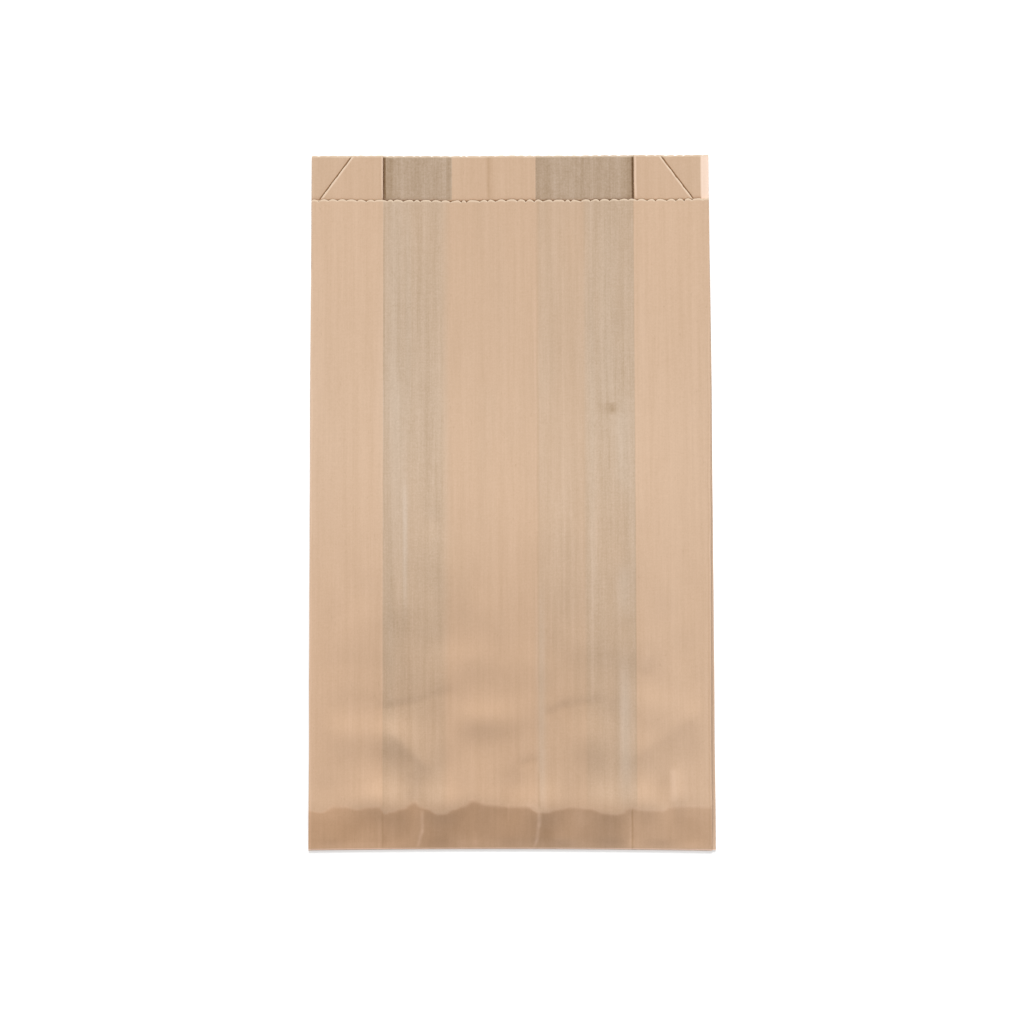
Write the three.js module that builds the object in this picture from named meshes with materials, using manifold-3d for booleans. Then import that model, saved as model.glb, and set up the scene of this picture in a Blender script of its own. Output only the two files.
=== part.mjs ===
// A flat paper bag with side gussets, of the kind used for bread and takeaway food.
//
// It is one sheet of thin kraft paper. The sheet is folded into a tube with a gusset in each side,
// its two long edges are lapped and glued down the back, and the bottom end is closed by a flap that
// is folded over onto the back and glued there. A stepped, toothed knife cuts the mouth: the front
// stops short, so that the back stands out past it as a lip, and the corners of the gussets are
// cut on the slant between the two.
//
// The empty bag lies on its back. Millimetres: X across the bag, Y from the bottom fold to the
// mouth, Z up from the surface that the bag lies on. The origin is under the middle of the bag.

import * as THREE from "three";
import { mergeVertices } from "three/addons/utils/BufferGeometryUtils.js";
import Module from "manifold-3d";

const wasm = await Module();
wasm.setup();
const { clamp, lerp, smoothstep } = THREE.MathUtils;

// The sheet and the folded bag
const PAPER = 0.1; // thickness of the sheet
const WIDTH = 170; // across the bag, over its side folds
const LENGTH = 300; // bottom fold to the tips of the lip's teeth
const GUSSET_DEPTH = 31; // side fold to the gusset's inner fold
const LAP_WIDTH = 36; // overlap of the sheet's two long edges, down the back
const LAP_CENTRE = -7; // the lap's middle, left of the bag's middle
const LAP_RAMP = 1.5; // length over which the upper ply climbs onto the lower one
const FLAP_LENGTH = 16; // bottom flap, from the bottom fold to its toothed end
const FLAP_CLEARANCE = 2; // past the flap's end, the back still lies at the flap's height
const FLAP_STEP = 10; // length over which it then comes down to the surface
const SIDE_STEP = 1.2; // at the bottom, the right front fold lies this far inside the back one

// The knife that cuts the mouth
const LIP = 19.5; // how far the back stands out past the front
const TOOTH_PITCH = 4;
const TOOTH_DEPTH = 0.7;
const KNIFE_SHIFT = -1.6; // the knife's middle, left of the bag's middle
const CORNER_AT_END = 18.3; // slanted gusset cut, in from the side fold, at the lip's end
const CORNER_AT_FRONT = 5.1; // the same, at the front's edge

// How the paper springs. A gap is between facing surfaces.
const PRESSED_GAP = 0.08; // between layers at the glued bottom fold
const FOLD_GAP = 0.3; // inside each long fold
const MOUTH_SLIT = 0.3; // the gusset's opening at the bag's side, at the mouth
const BODY_SLIT = 1.7; // the same, where the bag is fullest
const MOUTH_SAG_GAP = 0.55; // front to back between the gussets, at the mouth
const BODY_BELLY_GAP = 3.7; // the same, where the bag is fullest
const SAG_RUN = 14; // width over which the front drops off a gusset's inner fold
const RIDGE = 18; // bottom fold to the ridge where the bag becomes full
const RIDGE_ROUNDING = 1.5; // 1 for a sharp ridge, 2 for a round one
const FULL_LENGTH = 62; // bottom fold to where the fullness starts to fade
const FADE_LENGTH = 150; // length over which it fades to the flat upper part

// Tucks: short creases that run up from the bottom fold across the ridge, between pillows.
const TUCK_WIDTH = 5.5;
const TUCK_RISE = 5; // how far a tuck pushes the ridge away from the bottom fold
const TUCK_DIP = 0.55; // how far it pulls the front down at the ridge
const TUCKS = [-39, -20, 11, 50];

// Steps of the mesh
const FOLD_STEPS = 3; // segments round each long fold
const FRONT_STEPS = 48; // columns across the front
const TOOTH_STEPS = 4;
const BEND_STEPS = 8;
const RAMP_ROWS = 7;
const FULL_ROWS = 4;
const FADE_ROWS = 5;
const WELD = 1e-5; // points closer than this are one point

// Worked out from the sizes above
const MOUTH_FLAT = LIP + 4; // the last stretch, where the layers lie level
const FOLD_RADIUS = FOLD_GAP / 2 + PAPER; // outside of a long fold
const INNER_FOLD_X = WIDTH / 2 - GUSSET_DEPTH;
const LAP_LEFT = LAP_CENTRE - LAP_WIDTH / 2;
const LAP_RIGHT = LAP_CENTRE + LAP_WIDTH / 2;
const STACK_HEIGHT = 4 * PAPER + 3 * PRESSED_GAP; // the tube's layers, pressed at the bottom fold
const BEND_RADIUS = (STACK_HEIGHT + PAPER) / 2; // the bottom fold's outside, round tube and flap
const SUNK = PAPER / 2; // how far the flap reaches into the tube, to join it
const OVERRUN = 3; // how far the tube is made too long, for the knife to cut
const HEADROOM = 20; // how far cutters reach past the bag

// 0 at the pressed bottom fold, 1 from the ridge on: a ramp with a rounded top.
function opening(y, ridge) {
  const run = clamp((y - BEND_RADIUS) / (ridge - BEND_RADIUS), 0, 1);
  return 1 - (1 - run) ** RIDGE_ROUNDING;
}

// 1 where the bag is full, 0 in the flat upper part.
function fullness(y) {
  return 1 - smoothstep(y, FULL_LENGTH, FULL_LENGTH + FADE_LENGTH);
}

// Sum of the tucks' bell curves at x: 1 on a tuck, 0 away from all of them.
function tuckAt(x) {
  return TUCKS.reduce((sum, at) => sum + Math.exp(-(((x - at) / TUCK_WIDTH) ** 2)), 0);
}

// Underside of the back: it lies on the flap near the bottom fold, and on the surface past it.
function backUnderside(y) {
  const leaves = FLAP_LENGTH + FLAP_CLEARANCE;
  return PAPER * (1 - smoothstep(y, leaves, leaves + FLAP_STEP));
}

// The gaps of the cross-section at y, above the sides and in the middle.
function springAt(y) {
  const open = opening(y, RIDGE);
  const full = fullness(y);
  return {
    fold: lerp(PRESSED_GAP, FOLD_GAP, open),
    slit: lerp(PRESSED_GAP, lerp(MOUTH_SLIT, BODY_SLIT, full), open),
  };
}

// Height of the front's underside over the back's inside, at the side folds.
function sideGap(y) {
  const { fold, slit } = springAt(y);
  return 2 * PAPER + 2 * fold + slit;
}

// Height of the front's underside over the back's inside, at any point.
function frontGap(x, y) {
  const tuck = tuckAt(x);
  const open = opening(y, RIDGE + TUCK_RISE * tuck);
  const full = fullness(y);
  const pressed = 2 * PAPER + 3 * PRESSED_GAP;
  const middle = lerp(pressed, lerp(MOUTH_SAG_GAP, BODY_BELLY_GAP, full), open);
  const between = 1 - smoothstep(Math.abs(x), INNER_FOLD_X - SAG_RUN, INNER_FOLD_X);
  const nearRidge = Math.exp(-(((y - RIDGE) / RIDGE) ** 2));
  const dip = TUCK_DIP * tuck * open * nearRidge * full;
  return lerp(sideGap(y), middle, between) - dip * between;
}

// Points of an arc from below its centre to above it, bulging to the side that `side` gives.
function foldArc(x, z, radius, side) {
  const curve = new THREE.EllipseCurve(x, z, radius, radius, -Math.PI / 2, Math.PI / 2);
  return curve.getPoints(FOLD_STEPS).map((p) => new THREE.Vector2(x + side * (p.x - x), p.y));
}

// One side of the cross-section, from the back to the front: side fold, inner fold, side fold.
// `skin` is 0 on the inside of the bag and 1 on the outside.
function gussetOutline(y, side, skin) {
  const { fold } = springAt(y);
  const bottom = backUnderside(y);
  const wall = skin * PAPER;
  const step = side > 0 ? SIDE_STEP * (1 - smoothstep(y, 0, LENGTH - LIP)) : 0;
  const outer = WIDTH / 2 - fold / 2 - PAPER;
  const backFold = bottom + PAPER + fold / 2;
  const frontFold = bottom + PAPER + sideGap(y) - fold / 2;
  const innerFold = bottom + PAPER + frontGap(side * INNER_FOLD_X, y) / 2;
  const inner = INNER_FOLD_X + fold / 2 + PAPER;
  return [
    ...foldArc(side * outer, backFold, fold / 2 + wall, side),
    ...foldArc(side * inner, innerFold, fold / 2 + PAPER - wall, -side),
    ...foldArc(side * (outer - step), frontFold, fold / 2 + wall, side),
  ];
}

// The front of the cross-section, from right to left, on the inside or the outside.
function frontOutline(y, skin) {
  const reach = WIDTH / 2 - FOLD_RADIUS - SIDE_STEP;
  const level = backUnderside(y) + (1 + skin) * PAPER;
  return Array.from({ length: FRONT_STEPS + 1 }, (_, i) => {
    const x = lerp(reach, -reach, i / FRONT_STEPS);
    return new THREE.Vector2(x, level + frontGap(x, y));
  });
}

// The cross-section's outside, starting at the lower ply's edge in the lap.
function outsideOutline(y) {
  const bottom = backUnderside(y);
  return [
    new THREE.Vector2(LAP_LEFT, bottom),
    ...gussetOutline(y, 1, 1),
    ...frontOutline(y, 1),
    ...gussetOutline(y, -1, 1).reverse(),
    new THREE.Vector2(LAP_LEFT - LAP_RAMP, bottom),
    new THREE.Vector2(LAP_LEFT, bottom + PAPER),
  ];
}

// The cross-section's inside, starting at the upper ply's edge in the lap.
function insideOutline(y) {
  const top = backUnderside(y) + PAPER;
  return [
    new THREE.Vector2(LAP_RIGHT, top),
    ...gussetOutline(y, 1, 0),
    ...frontOutline(y, 0),
    ...gussetOutline(y, -1, 0).reverse(),
    new THREE.Vector2(LAP_LEFT - LAP_RAMP, top),
    new THREE.Vector2(LAP_LEFT, top + PAPER),
    new THREE.Vector2(LAP_RIGHT, top + PAPER),
  ];
}

// Places along the bag where a cross-section is made, closest together at the ramp and its ridge.
function rowPlaces() {
  const rampEnd = Math.max(RIDGE + TUCK_RISE, FLAP_LENGTH + FLAP_CLEARANCE + FLAP_STEP);
  const flatStart = LENGTH - MOUTH_FLAT;
  const fadeStart = Math.min(FULL_LENGTH, flatStart - 1);
  const ramp = Array.from({ length: RAMP_ROWS }, (_, i) =>
    lerp(BEND_RADIUS, rampEnd, (i + 1) / RAMP_ROWS),
  );
  const full = Array.from({ length: FULL_ROWS }, (_, i) =>
    lerp(rampEnd, fadeStart, (i + 1) / FULL_ROWS),
  );
  const fade = Array.from({ length: FADE_ROWS }, (_, i) =>
    lerp(fadeStart, flatStart, (i + 1) / FADE_ROWS),
  );
  return [BEND_RADIUS, BEND_RADIUS + PAPER, ...ramp, ...full, ...fade, LENGTH + OVERRUN];
}

// Joins one outline per row into a skin of triangles. Faces point away from the outline's middle
// for the outside, and towards it where `inward` is true.
function addSkin(positions, rows, outlineAt, inward) {
  rows.slice(1).forEach((next, i) => {
    const near = outlineAt(rows[i]).map((p) => [p.x, rows[i], p.y]);
    const far = outlineAt(next).map((p) => [p.x, next, p.y]);
    near.forEach((a, k) => {
      const after = (k + 1) % near.length;
      const quad = [a, near[after], far[after], a, far[after], far[k]];
      positions.push(...(inward ? quad : quad.reverse()).flat());
    });
  });
}

// Closes an outline, with an optional hole in it, at one end of a skin.
function addEnd(positions, y, outline, holes, towardsMouth) {
  const points = [outline, ...holes].flat();
  THREE.ShapeUtils.triangulateShape(outline, holes).forEach((corners) => {
    const face = corners.map((c) => [points[c].x, y, points[c].y]);
    positions.push(...(towardsMouth ? face.reverse() : face).flat());
  });
}

// Turns a three.js geometry into a solid that can be joined and cut.
function solidOf(geometry) {
  const bare = geometry.clone();
  bare.deleteAttribute("normal");
  bare.deleteAttribute("uv");
  const merged = mergeVertices(bare, WELD);
  const mesh = new wasm.Mesh({
    numProp: 3,
    vertProperties: merged.attributes.position.array,
    triVerts: new Uint32Array(merged.index.array),
  });
  return new wasm.Manifold(mesh);
}

function geometryOf(solid) {
  const mesh = solid.getMesh();
  const geometry = new THREE.BufferGeometry();
  geometry.setAttribute("position", new THREE.BufferAttribute(mesh.vertProperties, 3));
  geometry.setIndex(new THREE.BufferAttribute(mesh.triVerts, 1));
  return geometry;
}

// The folded tube, closed at the bottom and longer than the bag at its mouth.
function tube() {
  const rows = rowPlaces();
  const mouth = rows[rows.length - 1];
  const positions = [];
  addSkin(positions, rows, outsideOutline, false);
  addSkin(positions, rows.slice(1), insideOutline, true);
  addEnd(positions, rows[0], outsideOutline(rows[0]), [], false);
  addEnd(positions, rows[1], insideOutline(rows[1]), [], true);
  addEnd(positions, mouth, outsideOutline(mouth), [insideOutline(mouth)], true);
  const geometry = new THREE.BufferGeometry();
  geometry.setAttribute("position", new THREE.Float32BufferAttribute(positions, 3));
  return solidOf(geometry);
}

// What the knife takes off past a cut: a plate from the cut on. The paper is left with teeth in the
// form of round bumps, whose tips lie at y.
function pastKnife(y, low, high) {
  const teeth = Math.ceil((WIDTH / 2 + HEADROOM) / TOOTH_PITCH);
  const reach = teeth * TOOTH_PITCH;
  const root = y - TOOTH_DEPTH;
  const shape = new THREE.Shape();
  shape.moveTo(KNIFE_SHIFT - reach, root);
  for (let x = KNIFE_SHIFT - reach; x < KNIFE_SHIFT + reach - WELD; x += TOOTH_PITCH) {
    shape.quadraticCurveTo(x + TOOTH_PITCH / 2, y + TOOTH_DEPTH, x + TOOTH_PITCH, root);
  }
  shape.lineTo(KNIFE_SHIFT + reach, y + LIP + HEADROOM);
  shape.lineTo(KNIFE_SHIFT - reach, y + LIP + HEADROOM);
  shape.closePath();
  const plate = new THREE.ExtrudeGeometry(shape, {
    depth: high - low,
    curveSegments: TOOTH_STEPS,
    bevelEnabled: false,
  });
  return solidOf(plate.translate(0, 0, low));
}

// The bottom fold and the flap under the back, which close the tube's end.
function bottomFlap() {
  const bend = new THREE.Shape();
  const glued = BEND_RADIUS + 2 * PAPER;
  bend.absarc(BEND_RADIUS, BEND_RADIUS, BEND_RADIUS, Math.PI / 2, (3 * Math.PI) / 2);
  bend.lineTo(glued, 0);
  bend.lineTo(glued, 2 * BEND_RADIUS - SUNK);
  bend.lineTo(BEND_RADIUS, 2 * BEND_RADIUS - SUNK);
  const roll = new THREE.ExtrudeGeometry(bend, {
    depth: WIDTH - 2 * PAPER,
    curveSegments: BEND_STEPS,
    bevelEnabled: false,
  });
  // The profile is drawn in Y and Z and extruded along X.
  roll.applyMatrix4(new THREE.Matrix4().makeBasis(
    new THREE.Vector3(0, 1, 0),
    new THREE.Vector3(0, 0, 1),
    new THREE.Vector3(1, 0, 0),
  ));
  roll.translate(PAPER - WIDTH / 2, 0, 0);
  const sheet = new THREE.BoxGeometry(WIDTH - 2 * PAPER, FLAP_LENGTH, PAPER + SUNK);
  sheet.translate(0, FLAP_LENGTH / 2 + BEND_RADIUS, (PAPER + SUNK) / 2);
  const knife = pastKnife(FLAP_LENGTH, -HEADROOM, HEADROOM);
  return solidOf(roll).add(solidOf(sheet).subtract(knife));
}

// The space over the gussets and the back at the mouth, from just under the front upwards.
function spaceUnderFront() {
  const y = LENGTH;
  const inside = backUnderside(y) + PAPER;
  const reach = WIDTH / 2 + HEADROOM;
  const overFold = inside + sideGap(y) - springAt(y).fold / 2;
  const dropped = INNER_FOLD_X - SAG_RUN;
  const overBack = inside + (frontGap(0, y) + PAPER) / 2;
  const outline = new THREE.Shape([
    new THREE.Vector2(-reach, overFold),
    new THREE.Vector2(-INNER_FOLD_X, overFold),
    new THREE.Vector2(-dropped, overBack),
    new THREE.Vector2(dropped, overBack),
    new THREE.Vector2(INNER_FOLD_X, overFold),
    new THREE.Vector2(reach, overFold),
    new THREE.Vector2(reach, inside + HEADROOM),
    new THREE.Vector2(-reach, inside + HEADROOM),
  ]);
  const space = new THREE.ExtrudeGeometry(outline, { depth: 2 * HEADROOM + LIP, bevelEnabled: false });
  return solidOf(space.rotateX(Math.PI / 2).translate(0, LENGTH + HEADROOM, 0));
}

// The corner of one gusset's upper half that the knife takes off on the slant.
function cornerCut(side) {
  const end = side * (WIDTH / 2 - CORNER_AT_END) + KNIFE_SHIFT;
  const front = side * (WIDTH / 2 - CORNER_AT_FRONT) + KNIFE_SHIFT;
  const slope = (end - front) / LIP;
  const reach = side * (WIDTH / 2 + HEADROOM);
  const outline = new THREE.Shape([
    new THREE.Vector2(front, LENGTH - LIP),
    new THREE.Vector2(end + slope * OVERRUN, LENGTH + OVERRUN),
    new THREE.Vector2(reach, LENGTH + OVERRUN),
    new THREE.Vector2(reach, LENGTH - LIP),
  ]);
  const { fold, slit } = springAt(LENGTH);
  const inSlit = backUnderside(LENGTH) + 2 * PAPER + fold + slit / 2;
  const block = new THREE.ExtrudeGeometry(outline, { depth: HEADROOM, bevelEnabled: false });
  return solidOf(block.translate(0, 0, inSlit));
}

// The paper bag: the tube and its flap, with the mouth cut by the stepped knife.
function paperBag() {
  const lipKnife = pastKnife(LENGTH, -HEADROOM, HEADROOM);
  const frontKnife = pastKnife(LENGTH - LIP, 0, HEADROOM).intersect(spaceUnderFront());
  return tube()
    .add(bottomFlap())
    .subtract(lipKnife)
    .subtract(frontKnife)
    .subtract(cornerCut(1))
    .subtract(cornerCut(-1));
}

const kraft = new THREE.MeshStandardMaterial({ color: 0xd6b798, roughness: 0.72, metalness: 0 });
const bag = new THREE.Mesh(geometryOf(paperBag()), kraft);
bag.name = "paper_bag";
bag.position.set(0, -LENGTH / 2, 0);

const group = new THREE.Group();
group.add(bag);

export default group;
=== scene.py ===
"""A flat kraft paper bag with side gussets, lying empty on its back on a pale table.

The bag is one sheet. A flat grid stands for the sheet: the knife's teeth are cut into its end, it is
folded into a tube with its gussets and its lap, its longer front is turned round the bottom as a flap,
and it is given the paper's thickness. Lengths are in metres unless a name or a docstring says
otherwise: X across the bag, Y from the bottom fold to the mouth, Z up from the table.
"""

import logging
import math
from collections.abc import Iterable, Sequence
from dataclasses import dataclass, field
from enum import Enum

import bmesh
import bpy
from bmesh.types import BMEdge, BMesh, BMVert
from mathutils import Matrix, Vector, noise


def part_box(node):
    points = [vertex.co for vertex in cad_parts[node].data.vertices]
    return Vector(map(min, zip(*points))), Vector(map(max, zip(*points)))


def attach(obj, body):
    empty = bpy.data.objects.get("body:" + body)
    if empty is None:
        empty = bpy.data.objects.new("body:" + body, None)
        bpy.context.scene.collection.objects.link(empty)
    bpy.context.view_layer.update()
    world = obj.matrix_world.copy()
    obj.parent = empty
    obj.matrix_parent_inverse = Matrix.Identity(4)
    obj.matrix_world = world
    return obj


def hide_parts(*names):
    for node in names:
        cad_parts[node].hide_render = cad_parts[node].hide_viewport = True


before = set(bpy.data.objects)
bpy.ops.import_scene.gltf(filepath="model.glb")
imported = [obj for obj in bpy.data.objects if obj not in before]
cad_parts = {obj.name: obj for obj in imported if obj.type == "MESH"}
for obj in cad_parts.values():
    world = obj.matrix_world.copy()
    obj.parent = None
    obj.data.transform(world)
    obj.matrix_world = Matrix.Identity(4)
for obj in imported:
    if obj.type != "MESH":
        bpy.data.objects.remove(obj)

LOG = logging.getLogger("paper_bag")
MM = 0.001
CAD_NODE = "paper_bag"
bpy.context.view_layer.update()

Span = tuple[float, float]
Colour = tuple[float, float, float]
Socket = bpy.types.NodeSocket
Value = Socket | float
Paint = Socket | Colour

# A pillow is worked out up to this many times its reach, and a crease up to this many at its sides.
PILLOW_END = 3.0
CREASE_SIDE_END = 5.0

# A crease fades between these two shares of its length from its middle. Its top is a little round.
CREASE_INNER_END = 0.25
CREASE_OUTER_END = 0.65
CREASE_ROUNDING = 0.6

# The front's relief fades between these distances from the middle and from the bottom, in millimetres.
RELIEF_SIDE_FADE = (76.0, 84.0)
RELIEF_BOTTOM_FADE = (0.5, 5.0)

# What the front notes as its way past its own lip, in millimetres, so that the lip's painted shadow
# doesn't fall on it.
OUT_OF_SHADE = 10.0


def smooth(value: float, low: float, high: float) -> float:
    """Rise smoothly from 0 at low to 1 at high.

    Args:
        value: The place to read the curve at.
        low: Where the curve leaves 0.
        high: Where the curve reaches 1.

    Returns:
        The height of the curve, from 0 to 1.
    """
    run = min(max((value - low) / (high - low), 0.0), 1.0)
    return run * run * (3.0 - 2.0 * run)


def mix(start: float, end: float, share: float) -> float:
    """Return the value that lies the given share of the way from start to end."""
    return start + (end - start) * share


def uneven(across: float, along: float, seed: float = 0.0) -> float:
    """Return a smooth random value between about -1 and 1, the same in each run."""
    return noise.noise(Vector((across, along, seed)))


def linear(red: int, green: int, blue: int) -> Colour:
    """Turn a colour as a screen shows it into the linear colour that a shader takes.

    Args:
        red: Red, from 0 to 255.
        green: Green, from 0 to 255.
        blue: Blue, from 0 to 255.

    Returns:
        The linear colour.
    """
    def channel(level: int) -> float:
        """Return one channel's linear value, by the sRGB curve."""
        share = level / 255.0
        return share / 12.92 if share <= 0.04045 else ((share + 0.055) / 1.055) ** 2.4

    return channel(red), channel(green), channel(blue)


class Kind(Enum):
    """The strips that the flat sheet is made of, from its middle seam round the tube."""

    BACK = "half of the back"
    BACK_FOLD = "side fold between the back and the gusset"
    LOWER_LEAF = "gusset leaf next to the back"
    INNER_FOLD = "inner fold of the gusset"
    UPPER_LEAF = "gusset leaf next to the front"
    FRONT_FOLD = "side fold between the gusset and the front"
    FRONT = "front"
    LAP_RAMP = "where the upper edge climbs onto the lower one"
    LAP = "upper ply of the lap"


class Side(Enum):
    """A side of the bag, with the sign of X there."""

    LEFT = -1
    RIGHT = 1


def placed(name: str, data: bpy.types.ID) -> bpy.types.Object:
    """Put a new object of the given mesh, lamp or camera into the scene.

    Args:
        name: Its name.
        data: The mesh, lamp or camera.

    Returns:
        The object.
    """
    made = bpy.data.objects.new(name, data)
    bpy.context.scene.collection.objects.link(made)
    return made


def placed_mesh(name: str, bm: BMesh, material: bpy.types.Material) -> bpy.types.Object:
    """Put a finished mesh into the scene, with its material. The given mesh is used up.

    Args:
        name: Its name.
        bm: The mesh.
        material: Its material.

    Returns:
        The object.
    """
    mesh = bpy.data.meshes.new(name)
    bm.to_mesh(mesh)
    bm.free()
    mesh.materials.append(material)
    return placed(name, mesh)


class Seed(Enum):
    """Where each random unevenness of the sheet is read, so that none repeats another."""

    CURL = 3.7
    MOUTH = 9.2
    TOOTH_PLACE = 6.1
    TOOTH_DEPTH = 2.2
    FOLDS = 5.0


@dataclass(frozen=True)
class Strip:
    """One strip of the flat sheet, and its side of the bag.

    It has `columns` columns, and at the mouth each of them has `teeth_cuts` more cuts.
    """

    kind: Kind
    side: Side
    columns: int
    teeth_cuts: int


@dataclass(frozen=True)
class FoldSizes:
    """Sizes of the sheet, its folds and the knife's cut."""

    width: float
    length: float
    paper: float = 0.1 * MM
    gusset_depth: float = 31.0 * MM
    lap_left: float = -25.0 * MM
    lap_right: float = 11.0 * MM
    lap_ramp: float = 1.5 * MM
    flap_length: float = 16.0 * MM
    flap_step: float = 10.0 * MM
    side_step: float = 1.5 * MM
    side_step_end: float = 281.0 * MM
    right_bulge: float = 0.45 * MM
    right_inset: float = 1.2 * MM
    left_inset: float = -0.4 * MM
    lip: float = 19.5 * MM
    tooth_pitch: float = 4.0 * MM
    tooth_depth: float = 0.85 * MM
    end_tooth_depth: float = 0.3 * MM
    bottom_bow: float = 0.7 * MM
    bottom_skew: float = 0.35 * MM
    knife_shift: float = -1.6 * MM
    corner_at_end: float = 19.4 * MM
    corner_at_front: float = 5.3 * MM
    bulge_fade: Span = (200.0 * MM, 290.0 * MM)
    bow_fade: float = 60.0 * MM
    flap_clearance: float = 2.0 * MM
    flap_glue: float = 0.02 * MM
    fold_waver: float = 0.12 * MM
    fold_waver_length: float = 30.0 * MM
    mouth_waver: float = 0.9 * MM
    mouth_waver_length: float = 34.0 * MM
    end_waver_share: float = 0.45
    tooth_drift: float = 0.45
    tooth_drift_length: float = 5.0 * MM
    tooth_variation: float = 1.1
    tooth_change: float = 0.7


@dataclass(frozen=True)
class Spring:
    """How far the layers spring apart. A gap is between facing surfaces."""

    pressed_gap: float = 0.08 * MM
    fold_gap: float = 0.3 * MM
    mouth_slit: float = 0.3 * MM
    body_slit: float = 1.1 * MM
    mouth_sag: float = 0.55 * MM
    body_belly: float = 3.3 * MM
    sag_run: float = 14.0 * MM
    full_length: float = 62.0 * MM
    fade_length: float = 150.0 * MM
    ridge_sharpness: float = 1.12
    crown_place: float = 128.0 * MM
    crown_reach: float = 52.0 * MM
    crown_rise: float = 1.5 * MM
    roll_past_ridge: float = 2.5 * MM
    roll_reach: float = 5.0 * MM
    roll_rise: float = 0.12 * MM
    lip_curl: float = 0.5 * MM
    curl_length: float = 45.0 * MM
    curl_wave_length: float = 45.0 * MM
    curl_mean: float = 0.6
    curl_variation: float = 0.8


@dataclass(frozen=True)
class Pillow:
    """A soft rise or hollow in the front, in millimetres from the middle of the bottom fold."""

    across: float
    along: float
    reach_across: float
    reach_along: float
    rise: float

    def height(self, x: float, y: float) -> float:
        """Return the rise at a point of the front, all in millimetres."""
        far = ((x - self.across) / self.reach_across) ** 2 + ((y - self.along) / self.reach_along) ** 2
        return self.rise * math.exp(-far) if far < PILLOW_END**2 else 0.0


@dataclass(frozen=True)
class Ripple:
    """A random unevenness of the front, with its wave lengths and its rise in millimetres."""

    across: float
    along: float
    seed: float
    rise: float

    def height(self, x: float, y: float) -> float:
        """Return the rise at a point of the front, all in millimetres."""
        return self.rise * uneven(x / self.across, y / self.along, self.seed)


@dataclass(frozen=True)
class Crease:
    """A straight crease in the front. Lengths are in millimetres from the middle of the bottom fold.

    It reaches `above` far on the left of its run and `below` far on the right. Its last number is painted
    light: the paper along it is painted lighter above 0 and darker below, for the crease's shade and
    highlight.
    """

    start: Span
    end: Span
    above: float
    below: float
    rise: float
    painted_crease_light: float

    def strength(self, x: float, y: float) -> float:
        """Tell how near a point is to the crease.

        Args:
            x: Across the bag, in millimetres.
            y: Along the bag, in millimetres.

        Returns:
            1 on the crease's middle, falling to 0 away from it and at its ends.
        """
        run = Vector(self.end) - Vector(self.start)
        offset = Vector((x, y)) - Vector(self.start)
        share = offset.dot(run) / run.length_squared
        if abs(share - 0.5) >= CREASE_OUTER_END:
            return 0.0
        left = run.cross(offset) / run.length
        away = left / self.above if left > 0.0 else -left / self.below
        ends = 1.0 - smooth(abs(share - 0.5), CREASE_INNER_END, CREASE_OUTER_END)
        return ends * math.exp(-away * away / (CREASE_ROUNDING + away)) if away < CREASE_SIDE_END else 0.0


# The ridge above the bottom fold, as places across and along the bag in millimetres.
RIDGE_LINE: tuple[Span, ...] = (
    (-85, 16.6), (-80, 15.7), (-74.7, 18.2), (-69.9, 18.0), (-64.5, 16.8), (-60.3, 17.7), (-55.5, 17.7),
    (-53.4, 14.7), (-50.7, 15.6), (-45.9, 16.8), (-40.7, 19.8), (-38.1, 17.4), (-35.7, 16.6),
    (-30.9, 14.2), (-27.9, 14.5), (-24.4, 16.4), (-20.2, 17.8), (-16.6, 20.2), (-10, 18.3), (0, 17.6),
    (6.8, 17.5), (10.4, 15.2), (15, 15.0), (18.8, 16.3), (25, 17.5), (32.6, 16.8), (39.8, 14.7),
    (43.4, 14.4), (46.4, 15.1), (48.4, 17.1), (50.6, 17.4), (55.4, 16.4), (63.2, 16.4), (66.2, 18.0),
    (72, 18.4), (85, 18.4),
)

PILLOWS: tuple[Pillow, ...] = tuple(Pillow(*row) for row in (
    (-56, 20, 12, 9, 1.15), (-29.5, 19, 6.5, 7, 0.8), (-13, 24, 9, 10, 0.55), (16, 19, 6.5, 9, 1),
    (41, 19, 8, 8, 0.65), (56, 20, 5, 9, 0.6), (70.5, 22, 2.5, 9, 0.55), (-41, 22, 2.6, 9, -0.45),
    (64, 22, 3, 8, -0.3), (2, 26, 4, 10, -0.3), (-50, 47, 11, 8, 0.7), (-68, 49, 10, 9, 0.45),
    (-12, 55, 15, 7, 0.55), (34, 45, 8, 12, 0.5), (42, 92, 8, 22, 0.6), (-49, 100, 8, 16, 0.5),
    (-20, 80, 18, 9, 0.28), (60, 58, 9, 9, 0.45), (60, 88, 12, 14, 0.25), (-70, 92, 12, 18, 0.25),
    (-26, 118, 14, 16, 0.25), (20, 124, 12, 20, 0.25), (-33, 140, 2.5, 4, -0.2),
    (46, 222, 2.5, 5, -0.18),
))

# Each crease: start, end, reach above, reach below, rise in millimetres, and painted light, lighter above
# 0. The rows without rise only paint the paper near the bottom lighter or darker, as painted shade and
# light.
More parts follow.
